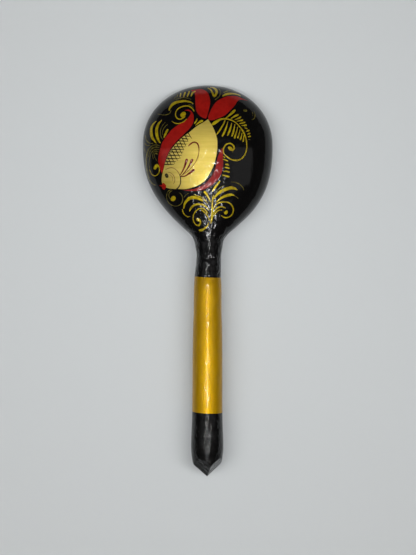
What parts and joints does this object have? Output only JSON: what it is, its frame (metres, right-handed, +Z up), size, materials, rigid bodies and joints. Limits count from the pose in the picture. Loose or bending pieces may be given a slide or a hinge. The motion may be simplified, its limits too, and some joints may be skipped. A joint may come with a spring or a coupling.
{
  "type": "painted wooden spoon",
  "caption": "Round-bowled carved wooden spoon lying face down, black lacquer with a painted gold fish, scrollwork, a gold handle band and a knife-cut tip.",
  "frame": {"origin": "on the table under the middle of the spoon's length, with the bowl face down", "axes": "+Y from the handle to the front of the bowl, +Z up away from the table, +X to the right seen from above"},
  "size_m": [0.0666, 0.2, 0.0221],
  "materials": {
    "limewood": "pale carved limewood, fully covered by the coats",
    "black_lacquer": "glossy black lacquer, slightly uneven from the brush",
    "band_gold": "amber gold under clear lacquer, metallic and glossy",
    "fish_gold": "pale metallic gold paint under clear lacquer",
    "enamel_red": "glossy red enamel",
    "deep_red": "dark red enamel lines",
    "scroll_gold": "olive gold brush strokes under clear lacquer"
  },
  "bodies": {
    "root": {"wood_blank": "limewood", "bowl_back_lacquer": "black_lacquer", "neck_underside_lacquer": "black_lacquer", "rim_lacquer": "black_lacquer", "bowl_inside_gold": "band_gold", "handle_gold_band": "band_gold", "handle_end_lacquer": "black_lacquer", "fish_body": "fish_gold", "fish_scales_along": "black_lacquer", "fish_scales_across": "black_lacquer", "fish_gill": "deep_red", "fish_side_fin": "deep_red", "fish_eye": "black_lacquer", "fish_mouth": "enamel_red", "fish_back_fin": "enamel_red", "fish_belly_fin": "enamel_red", "fish_tail": "enamel_red", "fern_leaf": "scroll_gold", "upper_curl": "scroll_gold", "left_fan": "scroll_gold", "left_curl": "scroll_gold", "tail_leaves": "scroll_gold", "top_leaves": "scroll_gold", "right_curl": "scroll_gold", "ladder_leaflets": "scroll_gold", "lower_spray": "scroll_gold", "lower_curl": "scroll_gold"}
  },
  "joints": []
}
